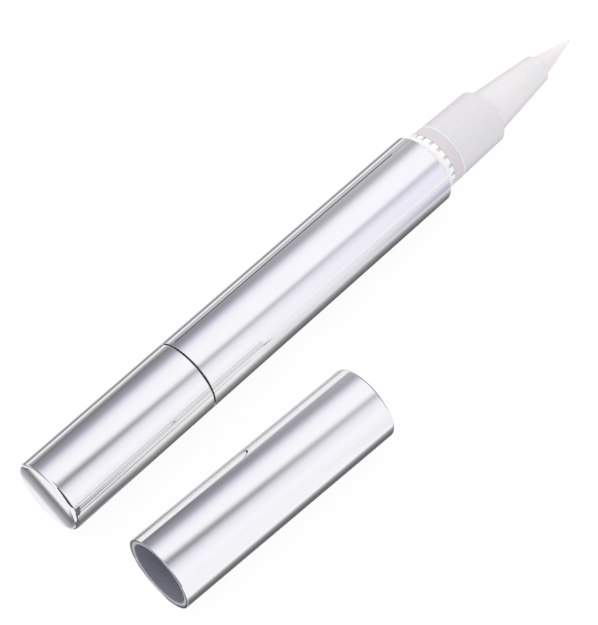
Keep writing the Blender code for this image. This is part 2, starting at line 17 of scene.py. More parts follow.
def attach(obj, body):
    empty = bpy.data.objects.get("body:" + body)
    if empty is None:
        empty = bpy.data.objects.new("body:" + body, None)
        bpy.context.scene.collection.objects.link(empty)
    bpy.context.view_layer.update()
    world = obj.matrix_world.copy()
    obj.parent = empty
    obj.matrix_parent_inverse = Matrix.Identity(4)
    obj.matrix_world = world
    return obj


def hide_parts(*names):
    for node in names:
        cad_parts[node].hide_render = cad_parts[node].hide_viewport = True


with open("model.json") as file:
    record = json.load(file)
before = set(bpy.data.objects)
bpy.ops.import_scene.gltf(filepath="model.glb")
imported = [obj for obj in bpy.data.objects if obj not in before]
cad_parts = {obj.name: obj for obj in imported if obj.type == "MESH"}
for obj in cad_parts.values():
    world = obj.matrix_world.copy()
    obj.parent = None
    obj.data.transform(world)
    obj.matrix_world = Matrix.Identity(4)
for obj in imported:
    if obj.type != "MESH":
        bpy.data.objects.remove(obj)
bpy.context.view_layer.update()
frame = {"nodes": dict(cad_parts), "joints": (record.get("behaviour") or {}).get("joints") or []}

bl_info = {
    "name": "Teeth Whitening Pen",
    "version": (1, 0, 0),
    "blender": (4, 5, 0),
    "location": "3D View > Sidebar > Pen",
    "description": "Dresses the packed pen and its cap and sets them in a plain studio",
    "category": "Object",
}

# Centre lines

Centreline = namedtuple("Centreline", "start along length radius")
up = Vector((0, 0, 1))
pen_direction = Vector((1, 0, 0))
cap_direction = Vector(next(joint["axis"] for joint in frame["joints"] if joint["name"] == "cap_pull"))


def reach(node, direction):
    """The lowest and highest place of a CAD node along a direction."""
    places = [direction.dot(vertex.co) for vertex in frame["nodes"][node].data.vertices]
    return min(places), max(places)


def centreline(node, along=pen_direction):
    """Where a turned CAD node starts, its direction, its length and its outer radius."""
    across = up.cross(along)
    rear, front = reach(node, along)
    left, right = reach(node, across)
    bottom, top = reach(node, up)
    middle = across * (left + right) / 2 + up * (bottom + top) / 2
    return Centreline(along * rear + middle, along, front - rear, (top - bottom) / 2)


# Sizes and colours that can be changed


def length(name, description, default):
    kind = {"subtype": "DISTANCE", "unit": "LENGTH"}
    return FloatProperty(name=name, description=description, default=default, min=0, precision=5, **kind)


def bearing(name, description, degrees):
    return FloatProperty(name=name, description=description, default=math.radians(degrees), subtype="ANGLE")


def count(name, description, default):
    return IntProperty(name=name, description=description, default=default, min=3)


def colour(name, description, default):
    kind = {"size": 3, "subtype": "COLOR"}
    return FloatVectorProperty(name=name, description=description, default=default, min=0, max=1, **kind)


class PenShellSizes(bpy.types.PropertyGroup):
    """Sizes of the drawn metal shells and the cap's liner."""

    wall: length("Shell wall", "Thickness of the drawn tube", 0.0004)
    end_wall: length("Closed end", "Thickness of the closed end of the knob and cap", 0.0006)
    knob_round: length("Knob end rounding", "Radius between the knob's side and its end", 0.0005)
    liner_reach: length("Liner reach", "How far the drawn sleeve reaches back to the mouth", 0.00033)
    cap_round: length("Cap end rounding", "Radius between the cap's side and its end", 0.0003)
    rim_round: length("Rim rounding", "Radius on the open rims", 0.00006)
    liner_wall: length("Liner wall", "Thickness of the cap's liner", 0.0003)
    steps: count("Steps round", "Faces round each turned piece", 192)


class PenNozzleSizes(bpy.types.PropertyGroup):
    """Sizes of the reservoir's neck, the seal, the collar and the brush holder."""

    spigot_radius: length("Spigot radius", "Outer radius of the tube inside the collar", 0.0042)
    body_wall: length("Reservoir wall", "Thickness of the reservoir's chamber", 0.0010)
    neck_length: length("Neck length", "How far the neck stands out of the barrel", 0.00245)
    neck_recess: length("Neck recess", "How deep the shoulder lies in the barrel", 0.0004)
    outlet_radius: length("Outlet radius", "Radius of the hole that the gel leaves by", 0.0015)
    lug_slot_width: length("Lug slot width", "Width of the slots for the guide nut's lugs", 0.0026)
    lug_slot_length: length("Lug slot length", "Length of the slots for the guide nut's lugs", 0.0015)
    notch_count: count("Notches", "Notches round the neck", 20)
    notch_width: length("Notch width", "Width of a neck notch", 0.0006)
    notch_depth: length("Notch depth", "Depth of a neck notch", 0.0002)
    notch_length: length("Notch length", "Length of a neck notch", 0.0008)
    collar_draft: length("Collar draft", "How much narrower the collar's front is", 0.00023)
    collar_wall: length("Collar wall", "Thickness of the collar's skirt", 0.00058)
    collar_front_wall: length("Collar front", "Thickness of the collar's front wall", 0.0035)
    collar_round: length("Collar rounding", "Radius on the collar's edges", 0.0003)
    # The lip's white is a painted highlight on the collar's rear edge.
    lip_length: length("Lip length", "Length of the white lip on the collar's rear edge", 0.00003)
    lip_height: length("Lip height", "How far the lip stands out of the collar", 0.00003)
    fit_gap: length("Fit gap", "Room between pieces that are fitted together", 0.0003)
    cone_step: length("Cone step", "How far the cone's foot stands out from its tail", 0.0004)
    cone_front_wall: length("Cone front wall", "Thickness of the cone's rim round the ferrule", 0.00034)
    tail_bead_length: length("Tail bead length", "Length of the bead that locks the cone", 0.0009)


class PenBrushSizes(bpy.types.PropertyGroup):
    """Sizes of the brush."""

    hairs: count("Hairs", "Hairs in the tuft", 1500)
    hair_radius: length("Hair radius", "Radius of a hair at its root", 0.00003)
    root_radius: length("Root radius", "Radius of the tuft at its root", 0.00160)
    core_radius: length("Core radius", "Radius of the hollow round the feed tube", 0.00080)
    belly_radius: length("Belly radius", "Radius of the tuft where it is widest", 0.00181)
    tip_radius: length("Tip radius", "Radius of the tuft's tip", 0.00022)
    stagger: length("Stagger", "How much shorter the outer hairs are", 0.0012)
    backing_length: length("Backing length", "Length of the bundle's fused root", 0.0037)


class PenColours(bpy.types.PropertyGroup):
    """Colours of the finishes."""

    metal: colour("Aluminium", "Polished aluminium of the shells", (0.940, 0.940, 0.950))
    # Painted shade: the liner's dark tone stands in for the shade deep inside the cap; the sleeve's plastic
    # is paler, as its edge shows.
    liner: colour("Liner", "Plastic sleeve in the cap", (0.275, 0.285, 0.350))
    liner_edge: colour("Liner edge", "Edge of the cap's plastic sleeve", (0.520, 0.520, 0.560))
    neck: colour("Neck", "White plastic of the reservoir", (0.970, 0.968, 0.975))
    seal: colour("Seal", "Soft ring between neck and collar", (0.722, 0.670, 0.688))
    collar: colour("Collar", "Frosted plastic of the collar", (0.750, 0.735, 0.765))
    # Painted highlight: the lip's pale tone stands in for light caught on the collar's rear edge.
    lip: colour("Collar lip", "Pale edge at the collar's rear", (0.880, 0.850, 0.880))
    holder: colour("Brush holder", "Frosted plastic of the cone", (0.825, 0.800, 0.815))
    bristle: colour("Bristles", "Nylon of the brush", (0.868, 0.805, 0.815))
    bristle_end: colour("Bristle ends", "Nylon near the tip", (0.930, 0.920, 0.925))
    core: colour("Core plastic", "Moulded core of the knob", (0.600, 0.600, 0.610))
    acetal: colour("Acetal", "White working parts of the drive", (0.820, 0.815, 0.790))
    piston: colour("Piston", "Soft plastic of the piston", (0.520, 0.600, 0.680))
    tube: colour("Feed tube", "Clear grey tube in the brush", (0.640, 0.660, 0.680))
    ferrule: colour("Ferrule", "Thin metal ring round the brush", (0.760, 0.765, 0.780))


class PenStudioSettings(bpy.types.PropertyGroup):
    """Camera, lamp and floor of the studio."""

    eye: FloatVectorProperty(
        name="Camera place",
        description="Where the camera stands",
        default=(-0.15775, -0.13262, 0.32366),
        size=3,
        subtype="TRANSLATION",
        unit="LENGTH",
    )
    azimuth: bearing("Azimuth", "Side that the camera stands on", -46.43)
    elevation: bearing("Elevation", "How far the camera looks down", 57.41)
    lens: FloatProperty(name="Lens", description="Focal length in millimetres", default=142.41, unit="CAMERA")
    lamp_power: FloatProperty(name="Lamp power", description="Power of the lamp", default=0.4, unit="POWER")
    floor_size: length("Floor size", "Side of the square floor", 4.0)


# Modelling by hand

touch = 1e-7
drawing_size = 0.001
support_room = 0.00015
corner_segments = 5
clearance = 0.00001
fine_round = 0.0001
soft_round = 0.0002


def deselect_everything():
    bpy.ops.object.select_all(action="DESELECT")


def select_only(first, *others):
    """Selects these pieces and makes the first of them the active one."""
    deselect_everything()
    for piece in (first, *others):
        piece.select_set(True)
    bpy.context.view_layer.objects.active = first


def apply_place(piece):
    """Puts a piece's place into its mesh, so that its object sits at the origin."""
    select_only(piece)
    bpy.ops.object.transform_apply(location=True, rotation=True, scale=True)


def named(name):
    """The object that was just made, under its name."""
    piece = bpy.context.object
    piece.name = name
    piece.data.name = name
    return piece


def start_outline(name, place):
    """A small plane shrunk to one vertex, the first point of an outline."""
    deselect_everything()
    bpy.ops.mesh.primitive_plane_add(size=drawing_size, location=place, calc_uvs=False)
    piece = named(name)
    apply_place(piece)
    bpy.ops.object.mode_set(mode="EDIT")
    bpy.ops.mesh.select_all(action="SELECT")
    bpy.ops.mesh.merge(type="CENTER")
    return piece


def select_places(piece, places):
    """Selects the vertices at these places, and nothing else."""
    mesh = bmesh.from_edit_mesh(piece.data)
    for vertex in mesh.verts:
        near = any((vertex.co - place).length < 10 * touch for place in places)
        vertex.select_set(near)
    mesh.select_flush_mode()
    bmesh.update_edit_mesh(piece.data)


def supported(points, closed):
    """The outline with a point beside each rounding, so that long faces keep their own normals."""
    result = []
    following = points[1:] + points[:1] if closed else points[1:]
    for here, there in zip(points, following):
        result.append(here)
        start = Vector(here[:2])
        span = Vector(there[:2]) - start
        if span.length > 4 * (here[2] + there[2] + support_room):
            after = here[2] + support_room
            before = span.length - there[2] - support_room
            for corner, along in ((here, after), (there, before)):
                if corner[2]:
                    station, radius = start + span * (along / span.length)
                    result.append((station, radius, 0))
    if not closed:
        result.append(points[-1])
    return result


def draw_outline(name, line, points, closed):
    """An outline drawn by extruding one vertex. A point is a station, a radius and a corner rounding."""
    points = supported(points, closed)
    places = [line.start + line.along * point[0] + up * point[1] for point in points]
    piece = start_outline(name, places[0])
    path = places + places[:1] if closed else places
    for here, there in zip(path, path[1:]):
        bpy.ops.mesh.extrude_vertices_move(TRANSFORM_OT_translate={"value": there - here})
    bpy.ops.mesh.select_all(action="SELECT")
    bpy.ops.mesh.remove_doubles(threshold=touch)
    for rounding in sorted({point[2] for point in points if point[2]}):
        corners = [place for place, point in zip(places, points) if point[2] == rounding]
        select_places(piece, corners)
        bpy.ops.mesh.bevel(offset=rounding, segments=corner_segments, affect="VERTICES")
    return piece


def face_outwards():
    """Turns all faces of the mesh in hand outwards and leaves edit mode."""
    bpy.ops.mesh.select_all(action="SELECT")
    bpy.ops.mesh.normals_make_consistent(inside=False)
    bpy.ops.object.mode_set(mode="OBJECT")


def turn(name, line, points, steps, closed=True):
    """A piece turned round its centre line from an outline."""
    piece = draw_outline(name, line, points, closed)
    bpy.ops.mesh.select_all(action="SELECT")
    bpy.ops.mesh.spin(steps=steps, angle=math.tau, center=line.start, axis=line.along)
    bpy.ops.mesh.select_all(action="SELECT")
    bpy.ops.mesh.remove_doubles(threshold=touch)
    face_outwards()
    return piece


def smooth(piece, sharp_from=math.radians(32)):
    select_only(piece)
    bpy.ops.object.shade_smooth_by_angle(angle=sharp_from)


def apply_modifier(piece, kind, helper, **settings):
    """Shapes a piece with a modifier that works by a helper object, and removes the helper."""
    modifier = piece.modifiers.new(kind.lower(), kind)
    modifier.object = helper
    for name, value in settings.items():
        setattr(modifier, name, value)
    select_only(piece)
    bpy.ops.object.modifier_apply(modifier=modifier.name)
    bpy.data.objects.remove(helper)


def cut(piece, cutter):
    """Cuts a cutter's shape out of a piece and removes the cutter."""
    apply_modifier(piece, "BOOLEAN", cutter, operation="DIFFERENCE", solver="EXACT")


def copy_moved(piece, move):
    """A copy of a piece with its own mesh, moved by a matrix."""
    copy = piece.copy()
    copy.data = piece.data.copy()
    copy.data.transform(move)
    bpy.context.collection.objects.link(copy)
    return copy


def join(pieces, name):
    select_only(*pieces)
    bpy.ops.object.join()
    return named(name)


def finish_piece(piece, body, slot, node, look=None):
    """Gives a piece its finish, hangs it on the body it rides on, and hides the CAD node it stands for.

    look names the finish where it isn't the slot's own.
    """
    piece.data.materials.clear()
    piece.data.materials.append(finishes[look or slot])
    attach(piece, body)
    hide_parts(node)


def turn_piece(name, line, points, body, slot, node, look=None, closed=True):
    """A turned piece from its outline to its finish."""
    piece = turn(name, line, points, bpy.context.scene.pen_shell_sizes.steps, closed)
    smooth(piece)
    finish_piece(piece, body, slot, node, look)


def ring_outline(start, end, outer, inner, rounding):
    """A closed outline of a plain tube."""
    corners = ((start, outer), (end, outer), (end, inner), (start, inner))
    return [(station, radius, rounding) for station, radius in corners]


def cup_outline(end, mouth, floor, radius, bore, end_round, sizes):
    """An open outline of a cup, from the middle of its closed end to the middle of its floor."""
    return [
        (end, 0, 0),
        (end, radius, end_round),
        (mouth, radius, sizes.rim_round),
        (mouth, bore, sizes.rim_round),
        (floor, bore, sizes.wall),
        (floor, 0, 0),
    ]


# Nodes

white = (1, 1, 1, 1)


def add_node(tree, kind, inputs=(), **settings):
    """A shader node with its settings, and its inputs as pairs of socket and value or socket and link."""
    node = tree.nodes.new(kind)
    for name, value in settings.items():
        setattr(node, name, value)
    for socket, value in inputs:
        if isinstance(value, bpy.types.NodeSocket):
            tree.links.new(value, node.inputs[socket])
        else:
            node.inputs[socket].default_value = value
    return node


def calculate(tree, operation, *values):
    return add_node(tree, "ShaderNodeMath", enumerate(values), operation=operation).outputs[0]


def calculate_vectors(tree, operation, *values):
    """A calculation on vectors. A length and a dot product are numbers."""
    node = add_node(tree, "ShaderNodeVectorMath", enumerate(values), operation=operation)
    return node.outputs["Value" if operation in ("LENGTH", "DOT_PRODUCT") else "Vector"]


def spread_over(tree, value, low, high, to_low=0, to_high=1):
    """A value between low and high, spread over another range and held at its ends."""
    limits = (("From Min", low), ("From Max", high), ("To Min", to_low), ("To Max", to_high))
    return add_node(tree, "ShaderNodeMapRange", [("Value", value), *limits]).outputs["Result"]


def mix_colours(tree, factor, first, second, blend="MIX"):
    inputs = [(0, factor), (6, first), (7, second)]
    return add_node(tree, "ShaderNodeMix", inputs, data_type="RGBA", blend_type=blend).outputs[2]


def mix_shaders(tree, factor, first, second):
    return add_node(tree, "ShaderNodeMixShader", [(0, factor), (1, first), (2, second)]).outputs[0]


def object_place(tree):
    """The place of a point on the piece's own axes."""
    return add_node(tree, "ShaderNodeTexCoord").outputs["Object"]


def split(tree, vector):
    """The X, Y and Z of a vector."""
    return add_node(tree, "ShaderNodeSeparateXYZ", [("Vector", vector)]).outputs


def grey(level, blue=0.0):
    return (level, level * (1 - blue / 8), level * (1 + blue))


def ramp(tree, factor, stops, low=0.0, high=1.0):
    """A colour ramp from low to high. A stop is a place and a grey, or a place and a colour.

    A grey is a level, with its share of blue where it has one.
    """
    node = add_node(tree, "ShaderNodeValToRGB", [("Fac", factor)])
    elements = node.color_ramp.elements
    elements.remove(elements[1])
    element = elements[0]
    element.position = (stops[0][0] - low) / (high - low)
    for index, (place, *tone) in enumerate(stops):
        if index:
            element = elements.new((place - low) / (high - low))
        element.color = (*(tone if len(tone) == 3 else grey(*tone)), 1)
    return node.outputs["Color"]


def new_material(name):
    """A material with no nodes yet."""
    material = bpy.data.materials.new(name)
    material.use_nodes = True
    material.node_tree.nodes.clear()
    return material


def set_surface(tree, shader, kind="ShaderNodeOutputMaterial"):
    add_node(tree, kind, [("Surface", shader)])


def tint_base(material, factor, tone):
    """Lets a finish's base colour turn into another tone by a factor."""
    tree = material.node_tree
    principled = next(node for node in tree.nodes if node.type == "BSDF_PRINCIPLED")
    base = principled.inputs["Base Color"]
    tree.links.new(mix_colours(tree, factor, base.links[0].from_socket, (*tone, 1)), base)


# Finishes

finishes = {}
light_depth = 0.0012
tip_from_end = (0.006, 0.001)
notch_shade_from = 0.3
notch_shade = (0.72, 0.72, 0.75)
# Painted shade on the frosted contours: where it starts and ends, and its tone.
contour_turn = (0.45, 0.95)
contour_shade = (0.60, 0.59, 0.61)
edge_depths = (0.00004, 0.00001)


def grain_group():
    """Grain of a moulded or drawn surface: patches of tone and gloss, and a fine height."""
    group = bpy.data.node_groups.new("surface_grain", "ShaderNodeTree")
    sizes = ("Vector", "Grain size", "Patch size")
    tones = ("Colour", "Second colour", "Roughness", "Roughness change")
    kinds = {"Vector": "Vector", "Colour": "Color", "Second colour": "Color"}
    for direction, names in (("INPUT", sizes + tones), ("OUTPUT", ("Colour", "Roughness", "Height"))):
        for name in names:
            kind = "NodeSocket" + kinds.get(name, "Float")
            group.interface.new_socket(name=name, in_out=direction, socket_type=kind)
    source = group.nodes.new("NodeGroupInput").outputs
    noises = []
    for size, detail, roughness in (("Grain size", 3, 0.6), ("Patch size", 2, 0.5)):
        inputs = {"Vector": source["Vector"], "Scale": source[size], "Detail": detail, "Roughness": roughness}
        noises.append(add_node(group, "ShaderNodeTexNoise", inputs.items()).outputs["Fac"])
    grain, patches = noises
    tone = mix_colours(group, patches, source["Colour"], source["Second colour"])
    centred = calculate(group, "SUBTRACT", patches, 0.5)
    gloss = calculate(group, "MULTIPLY_ADD", centred, source["Roughness change"], source["Roughness"])
    add_node(group, "NodeGroupOutput", [("Colour", tone), ("Roughness", gloss), ("Height", grain)])
    return group


def make_finish(grain, name, tone, share, sizes, gloss, bump, shader, stretch=(1, 1, 1), turned_by=0):
    """A material whose tone, gloss and fine relief come from the grain group on Object coordinates.

    tone is its colour and share the part of it that the darkest patches keep. sizes are the grain's and
    the patches' scales, gloss the roughness and its change, bump the relief's height in metres, shader
    what is set on the shader's own sockets, and stretch and turned_by the pattern's scale and turn.
    """
    material = new_material(name)
    tree = material.node_tree
    placing = [("Vector", object_place(tree)), ("Rotation", (0, 0, turned_by)), ("Scale", stretch)]
    inputs = {
        "Vector": add_node(tree, "ShaderNodeMapping", placing).outputs["Vector"],
        "Grain size": sizes[0],
        "Patch size": sizes[1],
        "Colour": (*tone, 1),
        "Second colour": (*(channel * share for channel in tone), 1),
        "Roughness": gloss[0],
        "Roughness change": gloss[1],
    }
    surface = add_node(tree, "ShaderNodeGroup", inputs.items(), node_tree=grain).outputs
    inputs = {"Height": surface["Height"], "Distance": bump, "Strength": 1}
    relief = add_node(tree, "ShaderNodeBump", inputs.items()).outputs["Normal"]
    inputs = {"Base Color": surface["Colour"], "Roughness": surface["Roughness"], "Normal": relief, **shader}
    set_surface(tree, add_node(tree, "ShaderNodeBsdfPrincipled", inputs.items()).outputs["BSDF"])
    finishes[name] = material


def soft(weight):
    """Settings of a plastic that light sinks into."""
    return {"Subsurface Weight": weight, "Subsurface Scale": light_depth}


def make_finishes(colours):
    """Every finish of the pen, under the name of its slot in the record or a name of its own."""
    cap_turn = -math.atan2(cap_direction.y, cap_direction.x)
    drawn = (0.04, 1, 1)
    metal = {"Metallic": 1.0}
    nylon = {"IOR": 1.45}
    polished = (colours.metal, 0.985, (6000, 260), (0.055, 0.02), 2e-8, metal, drawn)
    table = [
        ("polished_aluminium", *polished),
        ("polished_aluminium_cap", *polished, cap_turn),
        ("ferrule_metal", colours.ferrule, 0.9, (5000, 900), (0.28, 0.1), 1e-6, metal),
        ("bristle_nylon", colours.bristle, 0.98, (40000, 3000), (0.42, 0.1), 1e-6, nylon, (0.1, 1, 1)),
    ]
    plastics = (
        ("cap_liner_plastic", colours.liner, 0.92, (0.38, 0.10), {"IOR": 1.49}),
        ("reservoir_plastic", colours.neck, 0.97, (0.30, 0.08), soft(0.15)),
        ("seal_rubber", colours.seal, 0.95, (0.55, 0.10), soft(0.1)),
        ("frosted_plastic", colours.collar, 0.975, (0.50, 0.10), soft(0.35)),
        ("lip_painted_highlight", colours.lip, 0.975, (0.50, 0.10), soft(0.15)),
        ("holder_plastic", colours.holder, 0.975, (0.50, 0.10), soft(0.35)),
        ("core_plastic", colours.core, 0.92, (0.45, 0.10), {"IOR": 1.49}),
        ("acetal", colours.acetal, 0.95, (0.35, 0.10), {"IOR": 1.48}),
        ("piston_plastic", colours.piston, 0.93, (0.40, 0.10), soft(0.1)),
        ("tube_plastic", colours.tube, 0.93, (0.30, 0.10), {"IOR": 1.40}),
    )
    for name, tone, share, gloss, shader in plastics:
        table.append((name, tone, share, (9000, 500), gloss, 1e-6, shader))
    grain = grain_group()
    for row in table:
        make_finish(grain, *row)


def cool_tips(material, line, tone):
    """Lets the hairs take another tone towards the tip."""
    tree = material.node_tree
    end = line.start.x + line.length
    limits = [end - distance for distance in tip_from_end]
    tint_base(material, spread_over(tree, split(tree, object_place(tree))["X"], *limits), tone)


def darken_notches(material, line, radius, depth, shade):
    """Darkens a finish below a radius round a centre line along X, as shade does in a notch."""
    tree = material.node_tree
    away = calculate_vectors(tree, "SUBTRACT", object_place(tree), line.start)
    flat = calculate_vectors(tree, "MULTIPLY", away, (0, 1, 1))
    distance = calculate_vectors(tree, "LENGTH", flat)
    low = radius - notch_shade_from * depth
    tint_base(material, spread_over(tree, distance, low, radius - depth), shade)


def paint_contour_shade(material, shade):
    """Paints shade on a frosted finish where it turns away from the eye."""
    tree = material.node_tree
    facing = add_node(tree, "ShaderNodeLayerWeight", [("Blend", 0.5)]).outputs["Facing"]
    tint_base(material, spread_over(tree, facing, *contour_turn), shade)


def brighten_edge(material, line, overhang, tone):
    """Makes the first of a sleeve paler; further in, the sleeve keeps its darker tone, which is painted
    shade.
    """
    tree = material.node_tree
    depth = calculate_vectors(tree, "DOT_PRODUCT", object_place(tree), line.along)
    rear = line.along.dot(line.start) - overhang
    limits = [rear + inwards for inwards in edge_depths]
    tint_base(material, spread_over(tree, depth, *limits), tone)


class PEN_OT_finishes(bpy.types.Operator):
    """Makes the finishes of all pieces"""

    bl_idname = "pen.make_finishes"
    bl_label = "Make Finishes"

    def execute(self, context):
        make_finishes(context.scene.pen_colours)
        return {"FINISHED"}


# Shells and cap


class PEN_OT_shells(bpy.types.Operator):
    """Turns the barrel's tube and the knob's cup"""

    bl_idname = "pen.make_shells"
    bl_label = "Make Barrel and Knob"

    def execute(self, context):
        sizes = context.scene.pen_shell_sizes
        line = centreline("barrel_shell")
        bore = line.radius - sizes.wall
        points = ring_outline(0, line.length, line.radius, bore, sizes.rim_round)
        turn_piece("barrel_tube", line, points, "barrel", "polished_aluminium", "barrel_shell")
        line = centreline("knob_shell")
        points = cup_outline(0, line.length, sizes.end_wall, line.radius, bore, sizes.knob_round, sizes)
        turn_piece("knob_cup", line, points, "knob", "polished_aluminium", "knob_shell", closed=False)
        return {"FINISHED"}


class PEN_OT_cap(bpy.types.Operator):
    """Turns the cap's cup and its liner"""

    bl_idname = "pen.make_cap"
    bl_label = "Make Cap"

    def execute(self, context):
        sizes = context.scene.pen_shell_sizes
        line = centreline("cap_shell", cap_direction)
        bore = line.radius - sizes.wall
        floor = line.length - sizes.end_wall
        points = cup_outline(line.length, 0, floor, line.radius, bore, sizes.cap_round, sizes)
        look = "polished_aluminium_cap"
        turn_piece("cap_cup", line, points, "cap", "polished_aluminium", "cap_shell", look, closed=False)
        line = centreline("cap_liner", cap_direction)
        outer = bore - clearance
        inner = line.radius - sizes.liner_wall
        sleeve_round = 0.00004
        mouth_round = 0.00016
        points = [
            (-sizes.liner_reach, outer, sleeve_round),
            (line.length, outer, sleeve_round),
            (line.length, inner, sleeve_round),
            (-sizes.liner_reach, inner, mouth_round),
        ]
        slot = "cap_liner_plastic"
        # The liner is dark with painted shade inside the cap, and paler only at its edge at the mouth.
        brighten_edge(finishes[slot], line, sizes.liner_reach, context.scene.pen_colours.liner_edge)
        turn_piece("cap_sleeve", line, points, "cap", slot, "cap_liner")
        return {"FINISHED"}


# Neck, seal, collar and brush holder

outlet_wall = 0.0028
outlet_funnel = 0.0018
chamber_round = 0.0003
tail_inset = 0.0005
tail_room = 0.0003
ferrule_room = 0.00025
cone_rim_round = 0.00012


def add_block(name, middle, size):
    """A cutter's block, with its place in its mesh."""
    deselect_everything()
    bpy.ops.mesh.primitive_cube_add(size=1, location=middle, calc_uvs=False)
    block = named(name)
    block.scale = size
    apply_place(block)
    return block


def neck_cutters(line, sizes, neck_radius, neck_front):
    """The notches round the neck's front edge, one block copied round the centre line."""
    room = sizes.notch_depth
    middle = line.start + line.along * (neck_front + (room - sizes.notch_length) / 2) + up * neck_radius
    size = (sizes.notch_length + room, sizes.notch_width, 2 * sizes.notch_depth)
    blocks = [add_block("neck_notch", middle, size)]
    for index in range(1, sizes.notch_count):
        turned_by = Matrix.Rotation(math.tau * index / sizes.notch_count, 4, line.along)
        around = Matrix.Translation(line.start) @ turned_by @ Matrix.Translation(-line.start)
        blocks.append(copy_moved(blocks[0], around))
    return join(blocks, "neck_notches")


def lug_cutter(line, sizes):
    """A bar across the reservoir's rear end, where the guide nut's two lugs stand."""
    half_way = line.start + line.along * (sizes.lug_slot_length / 2)
    past_end = 1.0001
    past_sides = 1.01
    size = (sizes.lug_slot_length * past_end, sizes.lug_slot_width, 2 * line.radius * past_sides)
    return add_block("lug_slots", half_way, size)


class PEN_OT_neck(bpy.types.Operator):
    """Turns the reservoir with its notched neck, and the seal in front of it"""

    bl_idname = "pen.make_neck"
    bl_label = "Make Reservoir and Seal"

    def execute(self, context):
        sizes = context.scene.pen_nozzle_sizes
        line = centreline("reservoir")
        barrel = centreline("barrel_shell")
        seal_line = centreline("neck_seal")
        barrel_front = barrel.start.x + barrel.length - line.start.x
        neck_front = barrel_front + sizes.neck_length
        shoulder = barrel_front - sizes.neck_recess
        chamber = line.radius - sizes.body_wall
        chamber_front = shoulder - outlet_wall
        outlet = sizes.outlet_radius
        points = [
            (0, line.radius, fine_round),
            (shoulder, line.radius, soft_round),
            (shoulder, seal_line.radius, 0),
            (neck_front, seal_line.radius, fine_round),
            (neck_front, sizes.spigot_radius, 0),
            (line.length, sizes.spigot_radius, soft_round),
            (line.length, outlet, 0),
            (chamber_front + outlet_funnel, outlet, 0),
            (chamber_front, chamber, chamber_round),
            (0, chamber, 0),
        ]
        reservoir = turn("reservoir_body", line, points, context.scene.pen_shell_sizes.steps)
        cut(reservoir, lug_cutter(line, sizes))
        cut(reservoir, neck_cutters(line, sizes, seal_line.radius, neck_front))
        smooth(reservoir)
        slot = "reservoir_plastic"
        darken_notches(finishes[slot], line, seal_line.radius, sizes.notch_depth, notch_shade)
        finish_piece(reservoir, "barrel", slot, "reservoir")
        bore = centreline("nozzle_collar").radius - sizes.collar_draft - sizes.collar_wall
        rear = clearance - sizes.fit_gap
        points = ring_outline(rear, seal_line.length, seal_line.radius, bore, fine_round)
        turn_piece("neck_seal_ring", seal_line, points, "barrel", "seal_rubber", "neck_seal")
        return {"FINISHED"}


class PEN_OT_nozzle(bpy.types.Operator):
    """Turns the frosted collar and the cone that holds the brush"""

    bl_idname = "pen.make_nozzle"
    bl_label = "Make Collar and Brush Holder"

    def execute(self, context):
        sizes = context.scene.pen_nozzle_sizes
        line = centreline("nozzle_collar")
        front = line.radius - sizes.collar_draft
        bore = front - sizes.collar_wall
        tail = sizes.spigot_radius - tail_inset
        front_wall = line.length - sizes.collar_front_wall
        points = [
            (line.length, front, sizes.collar_round),
            (sizes.lip_length, line.radius, fine_round),
            (sizes.lip_length, bore, fine_round),
            (front_wall, bore, soft_round),
            (front_wall, tail + tail_room, 0),
            (line.length, tail + tail_room, fine_round),
        ]
        # Painted shade along the contours of the frosted collar and cone.
        for slot in ("frosted_plastic", "holder_plastic"):
            paint_contour_shade(finishes[slot], contour_shade)
        turn_piece("frosted_collar", line, points, "barrel", "frosted_plastic", "nozzle_collar")
        # A thin white ring on the collar's rear edge, which carries a painted highlight.
        rear = clearance - sizes.fit_gap
        lip_front = sizes.lip_length - clearance
        points = ring_outline(rear, lip_front, line.radius + sizes.lip_height, bore, sizes.lip_height)
        turn_piece("collar_lip_highlight", line, points, "barrel", "frosted_plastic", "nozzle_collar", "lip_painted_highlight")
        collar_front = line.start.x + line.length
        line = centreline("brush_holder")
        ferrule = centreline("brush_ferrule")
        cone_rear = collar_front + sizes.fit_gap - line.start.x
        ferrule_floor = ferrule.start.x - sizes.fit_gap - line.start.x
        socket = ferrule.radius + ferrule_room
        feed_hole = centreline("feed_tube").radius + sizes.fit_gap
        points = [
            (line.length, socket + sizes.cone_front_wall, cone_rim_round),
            (cone_rear, tail + sizes.cone_step, soft_round),
            (cone_rear, tail, 0),
            (sizes.tail_bead_length, tail, 0),
            (sizes.tail_bead_length, line.radius, soft_round),
            (0, line.radius, soft_round),
            (0, feed_hole, fine_round),
            (ferrule_floor, feed_hole, 0),
            (ferrule_floor, socket, 0),
            (line.length, socket, cone_rim_round),
        ]
        turn_piece("brush_cone", line, points, "barrel", "holder_plastic", "brush_holder")
        return {"FINISHED"}


# Brush

hair_sides = 5
hair_parts = 6
hair_taper = 0.6
cage_planes = 12
brush_steps = 48
backing_round = 0.00005
ferrule_wall = 0.00035
root_depth = 0.0004
belly_reach = 0.0012
tube_room = 0.0003
core_inset = 0.0001
core_share = 0.985
core_tip_share = 0.96


def model_hair(line, sizes, root_station):
    """One hair along the centre line: a narrow cone with rings cut round it, so that it can bend."""
    deselect_everything()
    hair_length = line.length - root_station
    middle = line.start + line.along * (root_station + hair_length / 2)
    bpy.ops.mesh.primitive_cone_add(
        vertices=hair_sides,
        radius1=sizes.hair_radius,
        radius2=sizes.hair_radius * hair_taper,
        depth=hair_length,
        location=middle,
        rotation=(0, math.pi / 2, 0),
        end_fill_type="NGON",
        calc_uvs=False,
    )
    hair = named("hair")
    apply_place(hair)
    bpy.ops.object.mode_set(mode="EDIT")
    for ring in range(1, hair_parts):
        place = line.start + line.along * (root_station + hair_length * ring / hair_parts)
        bpy.ops.mesh.select_all(action="SELECT")
        bpy.ops.mesh.bisect(plane_co=place, plane_no=line.along)
    face_outwards()
    return hair


